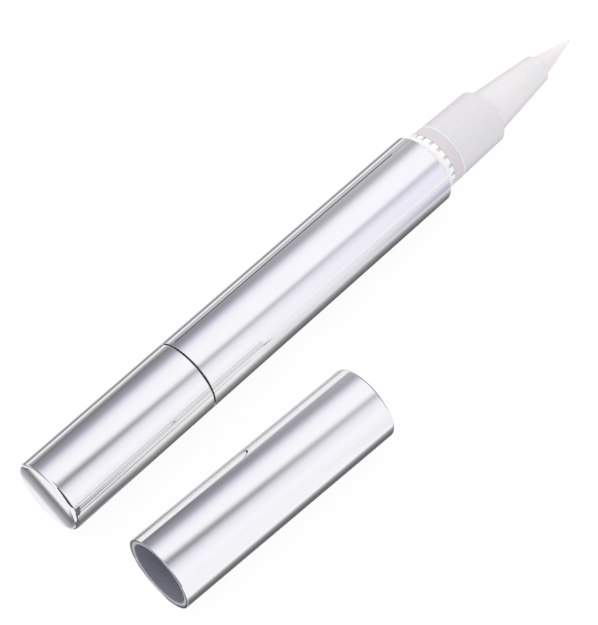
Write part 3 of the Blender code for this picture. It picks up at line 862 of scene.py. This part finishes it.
def plant_hairs(hair, line, sizes, root_station):
    """Copies of the hair over the root's ring, each a golden angle on, the outer ones shorter."""
    golden_angle = math.pi * (3 - math.sqrt(5))
    root = line.start + line.along * root_station
    hair_length = line.length - root_station
    low = sizes.core_radius**2
    high = (sizes.root_radius - sizes.hair_radius) ** 2
    hairs = []
    for index in range(sizes.hairs):
        outwards = (index + 0.5) / sizes.hairs
        radius = math.sqrt(low + (high - low) * (index + 0.5) / sizes.hairs)
        angle = index * golden_angle
        uneven = 0.5 + 0.5 * math.sin(index * 12.9898)
        shorter = sizes.stagger * (0.75 * outwards**2 + 0.25 * uneven)
        place = root + Vector((0, radius * math.cos(angle), radius * math.sin(angle)))
        fit = Matrix.Translation(place) @ Matrix.Rotation(angle, 4, line.along)
        fit = fit @ Matrix.Diagonal((1 - shorter / hair_length, 1, 1, 1)) @ Matrix.Translation(-root)
        hairs.append(copy_moved(hair, fit))
    bpy.data.objects.remove(hair)
    return hairs


def shape_tuft(tuft, line, sizes, root_station, belly_station):
    """Swells the tuft to its belly and draws it to a point with a lattice."""
    deselect_everything()
    hair_length = line.length - root_station
    middle = line.start + line.along * (root_station + hair_length / 2)
    bpy.ops.object.add(type="LATTICE", location=middle)
    cage = bpy.context.object
    past_ends = 1.001
    past_sides = 1.02
    width = 2 * sizes.root_radius * past_sides
    cage.scale = (hair_length * past_ends, width, width)
    for side, planes, bend in (("u", cage_planes, "CATMULL_ROM"), ("v", 2, "LINEAR"), ("w", 2, "LINEAR")):
        setattr(cage.data, "points_" + side, planes)
        setattr(cage.data, "interpolation_type_" + side, "KEY_" + bend)
    belly = sizes.belly_radius / sizes.root_radius
    tip = sizes.tip_radius / sizes.root_radius
    for index, point in enumerate(cage.data.points):
        station = root_station + hair_length * (index % cage_planes) / (cage_planes - 1)
        if station < belly_station:
            share = 1 + (belly - 1) * (station - root_station) / (belly_station - root_station)
        else:
            share = belly + (tip - belly) * (station - belly_station) / (line.length - belly_station)
        point.co_deform.y = point.co.y * share
        point.co_deform.z = point.co.z * share
    apply_modifier(tuft, "LATTICE", cage)


class PEN_OT_brush(bpy.types.Operator):
    """Plants the brush's hairs on their backing and draws them to a point"""

    bl_idname = "pen.make_brush"
    bl_label = "Make Brush"

    def execute(self, context):
        sizes = context.scene.pen_brush_sizes
        line = centreline("brush_tuft")
        holder = centreline("brush_holder")
        tube = centreline("feed_tube")
        outer = centreline("brush_ferrule").radius - ferrule_wall
        inner = sizes.core_radius - backing_round
        points = ring_outline(0, sizes.backing_length, outer, inner, backing_round)
        backing = turn("tuft_backing", line, points, brush_steps)
        root_station = sizes.backing_length - root_depth
        belly_station = holder.start.x + holder.length - line.start.x + belly_reach
        tube_end = tube.start.x + tube.length - line.start.x + tube_room
        core_gap = 0.25 * sizes.stagger
        tip_station = line.length - core_gap
        taper = core_gap / (line.length - belly_station)
        core_tip = core_tip_share * (sizes.tip_radius + (sizes.belly_radius - sizes.tip_radius) * taper)
        points = [
            (tube_end, 0, 0),
            (tube_end, sizes.core_radius - core_inset, 0),
            (root_station, sizes.core_radius - core_inset, 0),
            (root_station, core_share * sizes.root_radius, 0),
            (belly_station, core_share * sizes.belly_radius, 0),
            (tip_station, core_tip, fine_round),
            (tip_station, 0, 0),
        ]
        core = turn("tuft_core", line, points, brush_steps, closed=False)
        hairs = plant_hairs(model_hair(line, sizes, root_station), line, sizes, root_station)
        tuft = join(hairs, "tuft_hairs")
        shape_tuft(tuft, line, sizes, root_station, belly_station)
        brush = join([backing, core, tuft], "brush_hairs")
        smooth(brush, math.radians(80))
        cool_tips(finishes["bristle_nylon"], line, context.scene.pen_colours.bristle_end)
        finish_piece(brush, "barrel", "bristle_nylon", "brush_tuft")
        return {"FINISHED"}


# Mechanism


class PEN_OT_mechanism(bpy.types.Operator):
    """Gives the CAD solids inside the pen their finishes"""

    bl_idname = "pen.finish_mechanism"
    bl_label = "Finish Mechanism"

    def execute(self, context):
        slots = {
            "core_plastic": ("knob_insert", "barrel_bush"),
            "acetal": ("drive_sleeve", "click_ring", "ratchet_ring", "guide_nut", "screw_rod"),
            "piston_plastic": ("piston",),
            "ferrule_metal": ("brush_ferrule",),
            "tube_plastic": ("feed_tube",),
        }
        for slot, names in slots.items():
            for name in names:
                node = frame["nodes"][name]
                for place in node.material_slots:
                    place.material = finishes[slot]
        return {"FINISHED"}


# Tones of the surroundings round the pen's long axis: degrees from straight up, grey level, share of blue

surroundings = (
    (-90, 0.46, 0.03), (-86, 0.30, 0.04), (-82, 0.21, 0.06), (-76, 0.24, 0.08), (-68, 0.29, 0.12),
    (-60, 0.34, 0.13), (-52, 0.44, 0.13), (-45, 0.61, 0.12), (-39, 0.75, 0.10), (-32, 0.88, 0.07),
    (-25, 0.94, 0.05), (-15, 0.98, 0.03), (0, 1.00, 0.01), (20, 1.00, 0.03), (32, 0.99, 0.06),
    (55, 0.98, 0.05), (72, 0.98, 0.03), (90, 0.96, 0.02),
)
surroundings_ahead = (
    (-90, 0.70, 0.03), (-86, 0.66, 0.03), (-82, 0.44, 0.05), (-76, 0.50, 0.06), (-72, 0.58, 0.06),
    (-66, 0.51, 0.06), (-60, 0.46, 0.06), (-52, 0.48, 0.07), (-45, 0.58, 0.08), (-39, 0.73, 0.08),
    (-32, 0.87, 0.07), (-25, 0.95, 0.06), (-15, 0.99, 0.05), (0, 1.00, 0.03), (20, 0.99, 0.04),
    (32, 0.95, 0.08), (45, 0.90, 0.10), (90, 0.87, 0.11),
)
edge_ahead = (0.16, 0.16, 0.17, 1)

# Painted shade of the floor in reflections: shares of a range, and grey levels

painted_cover_shade = (
    (0.28, 0.11), (0.38, 0.19), (0.46, 0.28), (0.50, 0.36), (0.54, 0.48), (0.575, 0.63), (0.62, 0.85),
    (0.66, 0.94), (0.75, 0.96), (1.0, 0.97, 0.02),
)
painted_far_strips = (
    (0.23, 1), (0.275, 0.28), (0.315, 0.28), (0.36, 0.84), (0.45, 0.97), (0.65, 0.80),
    (1.0, 0.45, 0.45, 0.46),
)
painted_shade_across = (
    (0.0, 0.0), (0.506, 0.22), (0.75, 0.34), (0.826, 0.50), (0.872, 0.80), (0.893, 1.0), (0.905, 1.0),
    (0.920, 0.50), (0.953, 0.46), (1.0, 0.0),
)
painted_shade_along = (
    (0.0, 0.0), (0.167, 0.0), (0.317, 0.20), (0.50, 0.20), (0.683, 0.28), (0.862, 0.44), (0.983, 0.54),
)
painted_shade_tone = (0.10, 0.10, 0.28, 1)

# The long dark card: how dark it is across, in metres, and along, in half lengths

dark_card_ends = (Vector((-0.012, -0.054, 0.150)), Vector((0.111, -0.1053, 0.150)))
dark_card_sides = (-0.170, 0.060)
dark_card_bow = 0.008
dark_card_reach = 2.2
dark_card_widening = 1.4
dark_card_span = 1.4
dark_card_tone = (0, 0, 0.02, 1)
dark_across = (
    (-0.165, 0.0), (-0.124, 0.06), (-0.090, 0.13), (-0.064, 0.23), (-0.042, 0.37), (-0.025, 0.59),
    (-0.009, 0.88), (0.000, 1.0), (0.006, 0.97), (0.016, 0.70), (0.028, 0.23), (0.040, 0.04), (0.050, 0.0),
)
dark_along = (
    (-1.25, 0.67), (-0.97, 0.66), (-0.70, 0.59), (-0.45, 0.50), (-0.20, 0.44), (0.20, 0.39), (0.60, 0.32),
    (1.0, 0.30),
)

# Tones of the small cards across their width, in metres from the middle. The cards are painted reflections,
# and the dark ones on the floor painted shade.

card_blue = 0.03
knob_end_tones = (
    (-0.00495, 0.95), (0.00156, 0.92), (0.00176, 1.0), (0.00190, 0.98), (0.00205, 0.82), (0.00220, 0.45),
    (0.00230, 0.30), (0.00245, 0.22), (0.00258, 0.225), (0.00276, 0.27), (0.00295, 0.345), (0.00314, 0.41),
    (0.00332, 0.46), (0.00360, 0.60), (0.00375, 0.80), (0.00388, 0.92), (0.00425, 0.95),
)
cap_side_tones = (
    (-0.0060, 0.22), (-0.0051, 0.17), (-0.0038, 0.15), (-0.0026, 0.145), (-0.0004, 0.30), (0.0009, 0.50),
    (0.0022, 0.82), (0.0032, 0.96), (0.0045, 1.0), (0.0060, 1.0),
)
knob_side_tones = (
    (-0.00475, 0.32), (-0.00385, 0.30), (-0.00135, 0.155), (0.00085, 0.285), (0.0022, 0.37),
    (0.00345, 0.47), (0.00475, 0.60),
)
corner_tones = (
    (-0.0022, 0.30), (-0.00184, 0.17), (-0.00130, 0.116), (-0.00074, 0.07), (-0.00037, 0.12), (0.0, 0.15),
    (0.00037, 0.226), (0.00074, 0.325), (0.00130, 0.75), (0.0022, 0.95),
)
mouth_tones = ((-0.0009, 0.15), (0.0009, 0.17))

# Studio

floor_drop = 1e-5
lamp_place = (-0.15, 0.28, 0.45)
lamp_sides = (0.35, 0.25)


def after_first_mirror(tree, most):
    """How much of plain white a second mirror shows, so that reflections of reflections stay pale."""
    depth = add_node(tree, "ShaderNodeLightPath").outputs["Glossy Depth"]
    return spread_over(tree, depth, 1, 2, 0, most)


def by_kind_of_ray(tree, lit, mirrored, shown):
    """One shader where light falls, one in reflections, and one seen straight or through glass."""
    ray = add_node(tree, "ShaderNodeLightPath").outputs
    seen = calculate(tree, "MAXIMUM", ray["Is Camera Ray"], ray["Is Transmission Ray"])
    return mix_shaders(tree, seen, mix_shaders(tree, ray["Is Glossy Ray"], lit, mirrored), shown)


def set_world():
    """White for the camera, plain light for the plastics, and a soft box with a dark far side for metal."""
    world = bpy.data.worlds.new("studio")
    bpy.context.scene.world = world
    world.use_nodes = True
    world.cycles.sampling_method = "NONE"
    tree = world.node_tree
    tree.nodes.clear()
    direction = split(tree, add_node(tree, "ShaderNodeTexCoord").outputs["Generated"])
    near = calculate(tree, "MULTIPLY", direction["Y"], -1)
    angle = spread_over(tree, calculate(tree, "ARCTAN2", near, direction["Z"]), -math.pi, math.pi)
    ahead = spread_over(tree, direction["X"], 0.36, 0.46)
    ahead_low = spread_over(tree, direction["X"], 0.335, 0.365)
    low = spread_over(tree, angle, 110 / 360, 94 / 360)
    share = add_node(tree, "ShaderNodeMix", [(0, low), (2, ahead), (3, ahead_low)]).outputs[0]
    tones = [ramp(tree, angle, stops, -180, 180) for stops in (surroundings, surroundings_ahead)]
    far_ahead = spread_over(tree, direction["X"], 0.60, 0.72)
    tone = mix_colours(tree, far_ahead, mix_colours(tree, share, *tones), edge_ahead)
    reflected = add_node(tree, "ShaderNodeBackground", [("Color", tone)]).outputs[0]
    plain = add_node(tree, "ShaderNodeBackground", [("Color", white)]).outputs[0]
    mirrored = mix_shaders(tree, after_first_mirror(tree, 0.6), reflected, plain)
    set_surface(tree, by_kind_of_ray(tree, plain, mirrored, plain), "ShaderNodeOutputWorld")


def floor_finish():
    """Pale floor: white to the camera with a trace of the shadow, and with painted shade under and beside the
    pen in reflections.
    """
    material = new_material("studio_floor")
    tree = material.node_tree
    lit = add_node(tree, "ShaderNodeBsdfDiffuse", [("Color", (0.9, 0.9, 0.9, 1))]).outputs[0]
    glow = add_node(tree, "ShaderNodeEmission", [("Color", white), ("Strength", 1.03)]).outputs[0]
    shown = mix_shaders(tree, 0.9, lit, glow)
    towards_lamp = add_node(tree, "ShaderNodeCombineXYZ", [("X", 0), ("Y", 0.866), ("Z", 0.5)]).outputs[0]
    open_sky = add_node(
        tree, "ShaderNodeAmbientOcclusion", [("Distance", 0.016), ("Normal", towards_lamp)], samples=32
    )
    # Painted shade in reflections: the occlusion under the pen, ramped far darker.
    shaded = ramp(tree, open_sky.outputs["AO"], painted_cover_shade)
    place = split(tree, object_place(tree))
    # Painted dark strips beyond the pen and a painted bluish shade beside it, seen only in reflections.
    strips = ramp(tree, spread_over(tree, place["Y"], -0.02, 0.18), painted_far_strips)
    across = ramp(tree, spread_over(tree, place["Y"], -0.16, 0.012), painted_shade_across)
    along = ramp(tree, spread_over(tree, place["X"], -0.03, 0.03), painted_shade_along)
    painted_shade = mix_colours(tree, calculate(tree, "MULTIPLY", across, along), strips, painted_shade_tone)
    once = mix_colours(tree, 1.0, shaded, painted_shade, "MULTIPLY")
    tone = mix_colours(tree, after_first_mirror(tree, 0.5), once, white)
    mirrored = add_node(tree, "ShaderNodeEmission", [("Color", tone)]).outputs[0]
    set_surface(tree, by_kind_of_ray(tree, lit, mirrored, shown))
    return material


def add_sheet(name, middle, size, material):
    """A square sheet of the stage."""
    deselect_everything()
    bpy.ops.mesh.primitive_grid_add(x_subdivisions=2, y_subdivisions=2, size=size, location=middle)
    sheet = named(name)
    sheet.data.materials.append(material)
    return sheet


def add_card(name, middle, turned_by, size):
    """A flat card that only reflections show. Gives the nodes of its material, which are still to come."""
    material = new_material(name)
    card = add_sheet(name, middle, 1, material)
    card.scale = (*size, 1)
    card.rotation_euler = turned_by
    bpy.ops.object.transform_apply(location=False, rotation=False, scale=True)
    for kind in ("camera", "diffuse", "transmission", "shadow", "volume_scatter"):
        setattr(card, "visible_" + kind, False)
    return material.node_tree


def hang_dark_card(start, end):
    """A soft dark band above the pen, which only reflections show. It dims what lies behind it."""
    direction = end - start
    far_side, near_side = dark_card_sides
    size = (direction.length * dark_card_reach, -2 * far_side)
    tree = add_card("dark_card", (start + end) / 2, (0, 0, math.atan2(direction.y, direction.x)), size)
    place = split(tree, object_place(tree))
    along = calculate(tree, "MULTIPLY", place["X"], 2 / direction.length)
    squared = calculate(tree, "MULTIPLY", along, along)
    bowed = calculate(tree, "MULTIPLY_ADD", squared, -dark_card_bow, place["Y"])
    centred = calculate(tree, "ADD", bowed, dark_card_bow)
    widened = calculate(tree, "DIVIDE", centred, spread_over(tree, along, 0, 1, 1, dark_card_widening))
    across = spread_over(tree, widened, far_side, near_side)
    depth = ramp(tree, across, dark_across, far_side, near_side)
    span = spread_over(tree, along, -dark_card_span, dark_card_span)
    strength = ramp(tree, span, dark_along, -dark_card_span, dark_card_span)
    bounces = add_node(tree, "ShaderNodeLightPath").outputs["Glossy Depth"]
    first_mirror = calculate(tree, "LESS_THAN", bounces, 1.5)
    kept = calculate(tree, "MULTIPLY", strength, first_mirror)
    tone = mix_colours(tree, calculate(tree, "MULTIPLY", depth, kept), white, dark_card_tone)
    set_surface(tree, add_node(tree, "ShaderNodeBsdfTransparent", [("Color", tone)]).outputs[0])


def place_card(name, middle, turned_by, size, tones, one_sided=False, fade_from=None):
    """A small card with bands of grey along its width, which only reflections show.

    fade_from is the place along the card from where it fades out towards its end.
    """
    tree = add_card(name, middle, turned_by, size)
    place = split(tree, object_place(tree))
    side = size[0] / 2
    stops = [(offset, level, card_blue) for offset, level in tones]
    tone = ramp(tree, spread_over(tree, place["X"], -side, side), stops, -side, side)
    shown = add_node(tree, "ShaderNodeEmission", [("Color", tone)]).outputs[0]
    hidden = None
    if one_sided:
        hidden = add_node(tree, "ShaderNodeNewGeometry").outputs["Backfacing"]
    if fade_from is not None:
        hidden = spread_over(tree, place["Y"], fade_from, size[1] / 2)
    if hidden is not None:
        clear = add_node(tree, "ShaderNodeBsdfTransparent").outputs[0]
        shown = mix_shaders(tree, hidden, shown, clear)
    set_surface(tree, shown)


def place_cards():
    """The small cards round the pen and the cap, each a painted reflection of one band or patch in the metal.
    The dark ones lying on the floor are painted shade beside the knob and the cap.
    """
    knob = centreline("knob_shell").start
    cap = centreline("cap_shell", cap_direction)
    below_knob = knob - up * knob.z
    below_cap = cap.start - up * cap.start.z
    studio = Vector()
    across_cap = cap.along.cross(up)
    beside_cap = cap.along * 0.026 + across_cap * 0.011 + up * 0.00002
    gap_end = (cap.start + cap.along * cap.length).x + 0.010
    between = ((knob.x + gap_end) / 2, 0.0036, 0.0015)
    flat = (0, 0, 0)
    upright = (math.pi / 2, 0, 0)
    facing_cap = (0, 0, math.atan2(across_cap.y, across_cap.x))
    facing_end = (0, 0, math.radians(6.9))
    facing_side = (0, 0, -math.pi / 2)
    facing_corner = (0, 0, math.radians(-54.3))
    facing_mouth = (-math.pi / 2, 0, 0)
    # A card's name, its place as a base and a way from it, its turn, size and tones, and place_card's options
    cards = (
        (
            "behind_knob", below_knob, (-0.00504, 0.00361, 0.00002), facing_end, (0.0099, 0.016),
            knob_end_tones,
        ),
        ("behind_cap", below_cap, (-0.0031, 0.0030, 0.00002), flat, (0.006, 0.018), [(0, 0.12)]),
        ("beside_cap", below_cap, beside_cap, facing_cap, (0.012, 0.050), cap_side_tones),
        (
            "beside_knob", below_knob, (0.0090, -0.00975, 0.00002), facing_side, (0.0095, 0.0200),
            knob_side_tones, False, 0.0,
        ),
        ("between", studio, between, upright, (gap_end - knob.x, 0.003), [(0, 0.95)], True),
        ("near_camera", studio, (-0.310, -0.35, 0.50), upright, (0.60, 1.00), [(0, 0.065)]),
        ("by_far_corner", below_knob, (-0.0034, 0.0102, 0.00004), flat, (0.0010, 0.0030), [(0, 0.20)]),
        (
            "by_near_corner", below_knob, (-0.00215, -0.00307, 0.00005), facing_corner, (0.0044, 0.0018),
            corner_tones, False, 0.0001,
        ),
        (
            "behind_barrel", below_knob, (0.0578, 0.00823, 0.01305), upright, (0.0507, 0.0006),
            [(0, 0.12)], True,
        ),
        (
            "before_mouth", below_knob, (0.00303, -0.01467, 0.0044), facing_mouth, (0.0021, 0.0064),
            mouth_tones, True,
        ),
        ("by_corner", below_knob, (-0.0017, -0.0070, 0.00003), flat, (0.0042, 0.0055), [(0, 0.16)]),
    )
    for name, base, way, *rest in cards:
        place_card("card_" + name, base + Vector(way), *rest)


def hang_lamp(power):
    """One large soft lamp above the far side. Metal reflects the surroundings instead of it."""
    deselect_everything()
    bpy.ops.object.light_add(type="AREA", location=lamp_place)
    lamp = bpy.context.object
    lamp.name = "soft_lamp"
    lamp.data.shape = "RECTANGLE"
    lamp.data.size, lamp.data.size_y = lamp_sides
    lamp.data.energy = power
    lamp.rotation_mode = "QUATERNION"
    lamp.rotation_quaternion = lamp.location.to_track_quat("Z", "Y")
    lamp.visible_glossy = False


def set_camera(settings):
    """The photograph's own place and lens."""
    azimuth = settings.azimuth
    level = math.cos(settings.elevation)
    back = Vector((math.sin(azimuth) * level, -math.cos(azimuth) * level, math.sin(settings.elevation)))
    bpy.ops.object.camera_add(location=settings.eye)
    camera = bpy.context.object
    camera.name = "camera"
    camera.data.lens = settings.lens
    camera.data.sensor_width = 36
    camera.data.sensor_fit = "HORIZONTAL"
    camera.data.clip_start = 0.01
    camera.data.clip_end = 20
    camera.rotation_mode = "QUATERNION"
    camera.rotation_quaternion = (-back).to_track_quat("-Z", "Y")
    bpy.context.scene.camera = camera


class PEN_OT_studio(bpy.types.Operator):
    """Lays the pale floor and sets the lights, the surroundings and the camera"""

    bl_idname = "pen.set_studio"
    bl_label = "Set Studio"

    def execute(self, context):
        settings = context.scene.pen_studio_settings
        set_world()
        add_sheet("studio_floor", (0, 0, -floor_drop), settings.floor_size, floor_finish())
        hang_dark_card(*dark_card_ends)
        place_cards()
        hang_lamp(settings.lamp_power)
        set_camera(settings)
        context.scene.view_settings.view_transform = "Standard"
        return {"FINISHED"}


# Sidebar and running


class PEN_PT_sidebar(bpy.types.Panel):
    """Lists the pen's sizes, colours and steps in the sidebar"""

    bl_idname = "PEN_PT_sidebar"
    bl_label = "Teeth Whitening Pen"
    bl_space_type = "VIEW_3D"
    bl_region_type = "UI"
    bl_category = "Pen"

    def draw(self, context):
        for operator in operators:
            self.layout.operator(operator.bl_idname)
        for group, _ in settings_groups:
            settings = getattr(context.scene, group)
            box = self.layout.box()
            for name in settings.bl_rna.properties.keys():
                if name not in ("rna_type", "name"):
                    box.prop(settings, name)


operators = (
    PEN_OT_finishes,
    PEN_OT_shells,
    PEN_OT_cap,
    PEN_OT_neck,
    PEN_OT_nozzle,
    PEN_OT_brush,
    PEN_OT_mechanism,
    PEN_OT_studio,
)
settings_groups = (
    ("pen_shell_sizes", PenShellSizes),
    ("pen_nozzle_sizes", PenNozzleSizes),
    ("pen_brush_sizes", PenBrushSizes),
    ("pen_colours", PenColours),
    ("pen_studio_settings", PenStudioSettings),
)


def register():
    for name, group in settings_groups:
        bpy.utils.register_class(group)
        setattr(bpy.types.Scene, name, PointerProperty(type=group))
    for operator in operators:
        bpy.utils.register_class(operator)
    bpy.utils.register_class(PEN_PT_sidebar)


def unregister():
    bpy.utils.unregister_class(PEN_PT_sidebar)
    for operator in reversed(operators):
        bpy.utils.unregister_class(operator)
    for name, group in reversed(settings_groups):
        delattr(bpy.types.Scene, name)
        bpy.utils.unregister_class(group)


def main():
    register()
    bpy.ops.pen.make_finishes()
    bpy.ops.pen.make_shells()
    bpy.ops.pen.make_cap()
    bpy.ops.pen.make_neck()
    bpy.ops.pen.make_nozzle()
    bpy.ops.pen.make_brush()
    bpy.ops.pen.finish_mechanism()
    bpy.ops.pen.set_studio()


if __name__ == "__main__":
    main()
